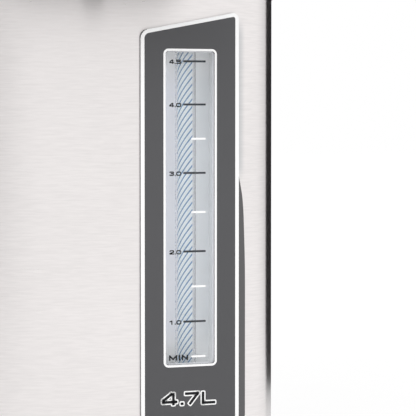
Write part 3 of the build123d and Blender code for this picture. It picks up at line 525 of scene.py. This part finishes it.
FINISHES = {
    "outer_shell": wrap_steel,
    "inner_pot": pot_steel,
    "outlet_strainer": pot_steel,
    "gauge_panel": gauge_grey,
    "gauge_housing": rail_grey,
    "gauge_window": pane_plastic,
    "gauge_tube": tube_glass,
    "gauge_backing": striped_card,
    "collar": charcoal,
    "beak_base": charcoal,
    "beak_cover": charcoal,
    "base_pan": charcoal,
    "turntable": charcoal,
    "rear_cover": charcoal,
    "power_socket": satin_black,
    "handle": charcoal,
    "lid_cover": charcoal,
    "lid_liner": white_moulding,
    "lid_latch": satin_black,
    "push_plate": satin_black,
    "steam_vent": satin_black,
    "nozzle": satin_black,
    "control_panel": gloss_black,
    "dispense_button": button_grey,
    "unlock_button": button_grey,
    "reboil_button": button_grey,
    "lamp_lenses": lens_amber,
    "foot_ring": foot_rubber,
    "swivel_glides": white_moulding,
    "pump_body": white_moulding,
    "pump_impeller": white_moulding,
    "heater_plate": heater_metal,
    "heater_band": heater_metal,
    "socket_pins": pin_metal,
    "drive_magnet": magnet_metal,
    "control_board": board_green,
    "power_board": board_green,
    "wire_harness": sleeve_black,
    "latch_keeper": spring_steel,
    "latch_spring": spring_steel,
    "pump_spring": spring_steel,
}
SOFT_PIECES = ("lid_gasket", "gauge_lower_elbow", "gauge_upper_elbow", "spout_hose", "pump_inlet_hose",
               "pump_outlet_hose", "bellows")
FINISHES.update(dict.fromkeys(SOFT_PIECES, silicone))
for name, node in nodes.items():
    node.data.materials.clear()
    node.data.materials.append(FINISHES.get(name, plated_steel))


def piece(name, mesh, finish, body):
    """Object of a finished mesh that already lies in its place."""
    made = bpy.data.objects.new(name, mesh)
    bpy.context.scene.collection.objects.link(made)
    mesh.materials.clear()
    mesh.materials.append(finish)
    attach(made, body)
    return made


def mesh_of(name, shape, placing):
    """Mesh of a bmesh, put in place, with its faces outwards."""
    bmesh.ops.remove_doubles(shape, verts=shape.verts, dist=0.0001 * MM)
    bmesh.ops.transform(shape, matrix=placing, verts=shape.verts)
    bmesh.ops.recalc_face_normals(shape, faces=shape.faces)
    mesh = bpy.data.meshes.new(name)
    shape.to_mesh(mesh)
    shape.free()
    return mesh


def box_outline(left, right, low, high):
    """Corners of an upright rectangle."""
    return [(left, low), (right, low), (right, high), (left, high)]


def ring_shape(corners, rounding, width, low, high):
    """Flat frame inside a rounded outline, from one lift to another."""
    shape = bmesh.new()
    face = shape.faces.new([shape.verts.new((x, y, low)) for x, y in corners])
    bmesh.ops.bevel(
        shape, geom=face.verts[:], offset=rounding, segments=8, affect="VERTICES", profile=0.5, material=-1
    )
    inner = shape.faces[:]
    bmesh.ops.inset_region(shape, faces=inner, thickness=width, use_even_offset=True, use_boundary=True)
    bmesh.ops.delete(shape, geom=inner, context="FACES")
    raised = bmesh.ops.extrude_face_region(shape, geom=shape.faces[:])
    points = [item for item in raised["geom"] if isinstance(item, bmesh.types.BMVert)]
    bmesh.ops.translate(shape, verts=points, vec=(0, 0, high - low))
    return shape


def add_borders():
    """White lines round the panel and round the window."""
    outline = box_outline(-panel_half_width, panel_half_width, panel_bottom, panel_top_left)
    outline[2] = (panel_half_width, panel_top_right)
    shape = ring_shape(outline, panel_rounding, border_width, panel_back, panel_front + ink_lift)
    piece("panel_border", mesh_of("panel_border", shape, gauge_frame), white_ink, "boiler")
    across = window_half_width + window_line
    outline = box_outline(-across, across, window_bottom - window_line, window_top + window_line)
    shape = ring_shape(outline, window_rounding, window_line, panel_front, panel_front + ink_lift)
    piece("window_border", mesh_of("window_border", shape, gauge_frame), white_ink, "boiler")


def add_bar(shape, first, last, width, low, high):
    """Thin flat bar from one point to another, with softened ends, between two lifts."""
    run = Vector(last) - Vector(first)
    middle = (Vector(first) + Vector(last)) / 2
    turned = Matrix.Rotation(math.atan2(run.y, run.x), 4, "Z")
    placed = Matrix.Translation((middle.x, middle.y, (low + high) / 2)) @ turned
    size = Matrix.Diagonal((run.length, width, high - low, 1))
    made = bmesh.ops.create_cube(shape, size=1.0, matrix=placed @ size)
    edges = {edge for vert in made["verts"] for edge in vert.link_edges}
    upright = [edge for edge in edges if abs((edge.verts[0].co - edge.verts[1].co).z) > (high - low) / 2]
    round_ends = dict(offset=width / 4, segments=2, affect="EDGES", profile=0.5, material=-1)
    bmesh.ops.bevel(shape, geom=upright, **round_ends)


def add_marks():
    """Level marks on the pane: the numbered ones are long and dark, the others short and white."""
    dark = bmesh.new()
    white = bmesh.new()
    top = panel_back + ink_lift
    for litres, height in LEVELS.items():
        if litres in NUMBERED:
            add_bar(dark, (long_mark_start, height), (mark_end, height), mark_thickness, panel_back, top)
        else:
            add_bar(white, (short_mark_start, height), (mark_end, height), mark_thickness, panel_back, top)
    add_bar(white, (short_mark_start, mark_least), (mark_end, mark_least), mark_thickness, panel_back, top)
    piece("dark_marks", mesh_of("dark_marks", dark, gauge_frame), grey_ink, "boiler")
    piece("white_marks", mesh_of("white_marks", white, gauge_frame), white_ink, "boiler")


# Letters, numbers and button signs as strokes in a box one wide and one high.
STROKES = {
    "0": [[(0.2, 0), (0.8, 0), (1, 0.25), (1, 0.75), (0.8, 1), (0.2, 1), (0, 0.75), (0, 0.25), (0.2, 0)]],
    "1": [[(0, 0.8), (0.5, 1), (0.5, 0)]],
    "2": [[(0, 0.85), (0.15, 1), (0.85, 1), (1, 0.85), (1, 0.6), (0, 0.15), (0, 0), (1, 0)]],
    "3": [[(0, 0.9), (0.15, 1), (0.85, 1), (1, 0.8), (0.85, 0.53), (0.4, 0.53)],
          [(0.85, 0.53), (1, 0.25), (0.85, 0), (0.15, 0), (0, 0.1)]],
    "4": [[(0.78, 0), (0.78, 1), (0.62, 1), (0, 0.4), (0, 0.22), (1, 0.22)]],
    "5": [[(1, 1), (0.04, 1), (0.04, 0.55), (0.85, 0.55), (1, 0.4), (1, 0.12), (0.85, 0), (0, 0)]],
    "7": [[(0, 1), (1, 1), (0.35, 0)]],
    "L": [[(0, 1), (0, 0), (1, 0)]],
    "M": [[(0, 0), (0, 1), (0.5, 0.15), (1, 1), (1, 0)]],
    "I": [[(0.5, 0), (0.5, 1)]],
    "N": [[(0, 0), (0, 1), (1, 0), (1, 1)]],
    ".": [[(0, 0), (1, 0)]],
    "cup": [[(0, 0.45), (0.12, 0), (0.75, 0), (0.87, 0.45)], [(0.43, 1), (0.43, 0.72)],
            [(0.25, 0.2), (0.62, 0.2)]],
    "lock": [[(0, 0), (1, 0), (1, 0.55), (0, 0.55), (0, 0)],
             [(0.2, 0.55), (0.2, 0.85), (0.38, 1), (0.62, 1), (0.8, 0.85)], [(0.5, 0.2), (0.5, 0.34)]],
    "again": [[(0.93, 0.72), (0.7, 0.95), (0.35, 1), (0.05, 0.75), (0, 0.4), (0.2, 0.08), (0.55, 0),
               (0.9, 0.2)], [(0.98, 0.98), (0.93, 0.72), (0.66, 0.68)]],
}


# Left and right of each figure across the gauge: of a mark's number, the least word and the content.
NUMBER_PLACES = ((-11.0 * MM, -9.05 * MM), (-8.2 * MM, -8.1 * MM), (-7.3 * MM, -5.1 * MM))
LEAST_PLACES = (("M", -11.2 * MM, -7.5 * MM), ("I", -6.2 * MM, -5.4 * MM), ("N", -4.2 * MM, -1.5 * MM))
CONTENT_PLACES = (
    ("4", -14.9 * MM, -7.8 * MM),
    (".", -4.8 * MM, -4.4 * MM),
    ("7", -2.4 * MM, 4.1 * MM),
    ("L", 7.0 * MM, 13.2 * MM),
)
number_half_height = 0.85 * MM
number_drop = 0.3 * MM
number_pen = 0.6 * MM
least_drop = 1.55 * MM
least_height = 2.3 * MM
least_pen = 0.75 * MM
content_low = 48.85 * MM
content_high = 54.15 * MM
content_pen = 1.4 * MM
content_outline_pen = 2.75 * MM
overlap = 0.45


def written(name, letters, low, high, pen, lift, placing):
    """Mesh of letters of thin flat bars, each with its left and right; pen is the stroke's width."""
    shape = bmesh.new()
    for letter, left, right in letters:
        for stroke in STROKES[letter]:
            points = [Vector((left + x * (right - left), low + y * (high - low))) for x, y in stroke]
            for first, last in zip(points, points[1:]):
                over = (last - first).normalized() * pen * overlap
                add_bar(shape, first - over, last + over, pen, lift, lift + ink_lift)
    return mesh_of(name, shape, placing)


def add_numbers():
    """Litres at the long marks, the least word, and the pot's content, dark with a white outline."""
    for litres in NUMBERED:
        figures = str(litres)
        letters = [(figure, *place) for figure, place in zip(figures, NUMBER_PLACES)]
        name = f"number_{figures[0]}_{figures[2]}"
        middle = LEVELS[litres] - number_drop
        low = middle - number_half_height
        high = middle + number_half_height
        mesh = written(name, letters, low, high, number_pen, panel_back, gauge_frame)
        piece(name, mesh, black_ink, "boiler")
    low = mark_least - least_drop
    mesh = written("least_word", LEAST_PLACES, low, low + least_height, least_pen, panel_back, gauge_frame)
    piece("least_word", mesh, black_ink, "boiler")
    for name, finish, pen, lift in (
        ("content_outline", white_ink, content_outline_pen, panel_front),
        ("content_figure", black_ink, content_pen, panel_front + ink_lift),
    ):
        mesh = written(name, CONTENT_PLACES, content_low, content_high, pen, lift, gauge_frame)
        piece(name, mesh, finish, "boiler")


def add_button_signs():
    """A sign on each button, a thin line round it and one round the whole control panel."""
    rims = bmesh.new()
    line_top = controls_lift + ink_lift
    for button, (column, width, depth, sign, half) in BUTTONS.items():
        letters = [(sign, column - half, column + half)]
        mesh = written(button + "_sign", letters, -half, half, sign_pen, button_lift, controls_frame)
        piece(button + "_sign", mesh, black_ink, button)
        across = width / 2 + rim_gap
        along = depth / 2 + rim_gap
        outline = box_outline(column - across, column + across, -along, along)
        rim = ring_shape(outline, rim_rounding, rim_line, controls_lift, line_top)
        spare = bpy.data.meshes.new("rim")
        rim.to_mesh(spare)
        rims.from_mesh(spare)
        rim.free()
        bpy.data.meshes.remove(spare)
    piece("button_rims", mesh_of("button_rims", rims, controls_frame), white_ink, "boiler")
    outline = box_outline(-controls_half_width, controls_half_width, controls_low, controls_high)
    border = ring_shape(outline, controls_rounding, controls_line, controls_lift, line_top)
    mesh = mesh_of("controls_border", border, controls_frame)
    piece("controls_border", mesh, white_ink, "boiler")


PUMP_WAY = ("push_plate_slide", (0, 0, 1))
LATCH_WAY = ("lid_latch_slide", (0, 1, 0))

# Bellows and springs: finish, slot, joint, axis, fixed end along it, length and travel.
GIVING = {
    "bellows": (silicone, "silicone", *PUMP_WAY, 291.6 * MM, 39.4 * MM, 15 * MM),
    "pump_spring": (spring_steel, "zinc_steel", *PUMP_WAY, 291.7 * MM, 37.4 * MM, 15 * MM),
    "latch_spring": (spring_steel, "zinc_steel", *LATCH_WAY, -53.0 * MM, 14.7 * MM, 5 * MM),
}
sharp_edge = math.radians(35)


def add_giving_pieces():
    """Smooth-shaded copies of the bellows and springs, which stand in for the hidden CAD pieces."""
    for name, (finish, slot, joint, axis, fixed_end, length, travel) in GIVING.items():
        shape = bmesh.new()
        shape.from_mesh(nodes[name].data)
        bmesh.ops.remove_doubles(shape, verts=shape.verts, dist=0.001 * MM)
        mesh = bpy.data.meshes.new("working_" + name)
        shape.to_mesh(mesh)
        shape.free()
        mesh.polygons.foreach_set("use_smooth", [True] * len(mesh.polygons))
        mesh.set_sharp_from_angle(angle=sharp_edge)
        made = piece("working_" + name, mesh, finish, "lid")
        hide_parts(name)
        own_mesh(made)


add_borders()
add_marks()
add_numbers()
add_button_signs()
add_giving_pieces()

# Stage: a pale floor, a white surround, soft lamps and three upright cards that edge the steel.
floor_half = 6.0
floor_white = 1.02
floor_seen = 0.86
floor_near = 0.25
floor_far = 1.0
floor_mirrored = 0.70
world_light = 0.62
card_height = 1.2

# Cards: near and far end, and how dark each end is. One is behind the body on the right, one is on the
# right of it, and one is in front on the left.
CARDS = {
    "dark_card": ((0.295, 0.13, 0), (0.118, 0.24, 0), 1.0, 1.0),
    "right_card": ((0.295, 0.13, 0), (0.42, -0.08, 0), 0.29, 0.0),
    "left_card": ((-0.275, -1.07, 0), (-0.55, -0.97, 0), 0.0, 0.60),
}

# Lamps: place, aim, size, power, and whether the gloss mirrors them.
LAMPS = {
    "key_lamp": ((-1.2, -1.5, 1.5), (0, 0, 0.15), 1.4, 18, False),
    "fill_lamp": ((1.6, -1.0, 1.0), (0, 0, 0.15), 1.4, 8, False),
    "top_lamp": ((0.1, 0.3, 2.0), (0, 0, 0.2), 1.6, 10, True),
}


def make_floor():
    """Pale floor that keeps the object's shadow and is white elsewhere."""
    shape = bmesh.new()
    bmesh.ops.create_grid(shape, x_segments=1, y_segments=1, size=floor_half)
    floor = bpy.data.objects.new("floor", mesh_of("floor", shape, Matrix.Identity(4)))
    bpy.context.scene.collection.objects.link(floor)
    made = moulding("pale_floor", rgb(252, 252, 252), 0.8, even(30), 0.01, 0.02)
    tree = made.node_tree
    path = add(tree, "LightPath")
    glow = add(tree, "Emission")
    glow.inputs["Strength"].default_value = floor_white
    place = add(tree, "TexCoord")
    distance = add(tree, "VectorMath", operation="LENGTH")
    tree.links.new(place.outputs["Object"], distance.inputs[0])
    away = between(tree, distance.outputs["Value"], floor_far, 2 * floor_half, floor_far - floor_near)
    white = spread(tree, away, floor_seen, 1.0)
    seen = math_node(tree, "MAXIMUM", path.outputs["Is Camera Ray"], path.outputs["Is Transmission Ray"])
    straight = math_node(tree, "MULTIPLY", seen, white)
    mirrored = math_node(tree, "MULTIPLY", path.outputs["Is Glossy Ray"], floor_mirrored)
    share = math_node(tree, "MAXIMUM", straight, mirrored)
    mix = add(tree, "MixShader")
    tree.links.new(share, mix.inputs["Fac"])
    tree.links.new(tree.nodes["Principled BSDF"].outputs["BSDF"], mix.inputs[1])
    tree.links.new(glow.outputs["Emission"], mix.inputs[2])
    tree.links.new(mix.outputs["Shader"], tree.nodes["Material Output"].inputs["Surface"])
    floor.data.materials.append(made)


def card_cloth(name, near, far, near_share, far_share):
    """Dark cloth that thins out from one end of a card to the other."""
    made = moulding(name, rgb(26, 26, 27), 0.9, even(300), 0.05, 0.1, Specular_IOR_Level=0.1)
    tree = made.node_tree
    way = (far - near).normalized()
    place = add(tree, "TexCoord")
    along = add(tree, "VectorMath", operation="DOT_PRODUCT")
    along.inputs[1].default_value = way
    tree.links.new(place.outputs["Object"], along.inputs[0])
    gone = math_node(tree, "SUBTRACT", along.outputs["Value"], near.dot(way))
    step = math_node(tree, "DIVIDE", gone, (far - near).length)
    share = spread(tree, step, near_share, far_share)
    tree.links.new(share, tree.nodes["Principled BSDF"].inputs["Alpha"])
    return made


def make_cards():
    """Upright cards that only the gloss sees."""
    for name, (near, far, near_share, far_share) in CARDS.items():
        near = Vector(near)
        far = Vector(far)
        up = Vector((0, 0, card_height))
        shape = bmesh.new()
        shape.faces.new([shape.verts.new(corner) for corner in (near, far, far + up, near + up)])
        card = bpy.data.objects.new(name, mesh_of(name, shape, Matrix.Identity(4)))
        bpy.context.scene.collection.objects.link(card)
        card.data.materials.append(card_cloth(name, near, far, near_share, far_share))
        card.visible_camera = False
        card.visible_diffuse = False
        card.visible_shadow = False
        card.visible_transmission = False


def make_lamps():
    """Soft square lamps."""
    for name, (place, aim, size, power, mirrored) in LAMPS.items():
        data = bpy.data.lights.new(name, "AREA")
        data.shape = "SQUARE"
        data.size = size
        data.energy = power
        lamp = bpy.data.objects.new(name, data)
        bpy.context.scene.collection.objects.link(lamp)
        lamp.location = place
        lamp.rotation_mode = "QUATERNION"
        lamp.rotation_quaternion = (Vector(aim) - Vector(place)).to_track_quat("-Z", "Y")
        lamp.visible_glossy = mirrored


def make_world():
    """White where it is seen or mirrored, and softer where it only lights."""
    world = bpy.data.worlds.new("studio")
    bpy.context.scene.world = world
    world.use_nodes = True
    tree = world.node_tree
    background = tree.nodes["Background"]
    background.inputs["Color"].default_value = (1, 1, 1, 1)
    path = add(tree, "LightPath")
    seen = math_node(tree, "MAXIMUM", path.outputs["Is Camera Ray"], path.outputs["Is Glossy Ray"])
    seen = math_node(tree, "MAXIMUM", seen, path.outputs["Is Transmission Ray"])
    tree.links.new(spread(tree, seen, world_light, 1.0), background.inputs["Strength"])


def make_camera():
    """Camera at the photograph's place, with the shift that its perspective asks for."""
    data = bpy.data.cameras.new("camera")
    camera = bpy.data.objects.new("camera", data)
    bpy.context.scene.collection.objects.link(camera)
    data.sensor_fit = "HORIZONTAL"
    data.sensor_width = 36
    data.lens = focal_pixels / frame_pixels * data.sensor_width
    level = Vector((math.sin(camera_turn), math.cos(camera_turn), 0))
    right = Vector((math.cos(camera_turn), -math.sin(camera_turn), 0))
    aside = (frame_pixels / 2 - gauge_column) / focal_pixels * camera_distance
    camera.location = gauge_origin - camera_distance * level + aside * right + Vector((0, 0, camera_height))
    forward = level * math.cos(camera_pitch) - Vector((0, 0, math.sin(camera_pitch)))
    camera.rotation_mode = "QUATERNION"
    camera.rotation_quaternion = forward.to_track_quat("-Z", "Y")
    middle_row = eye_row + focal_pixels * math.tan(camera_pitch)
    data.shift_y = (middle_row - frame_pixels / 2) / frame_pixels
    data.clip_start = 0.01
    data.clip_end = 50
    bpy.context.scene.camera = camera


make_floor()
make_cards()
make_world()
make_lamps()
make_camera()
bpy.context.scene.view_settings.view_transform = "Standard"
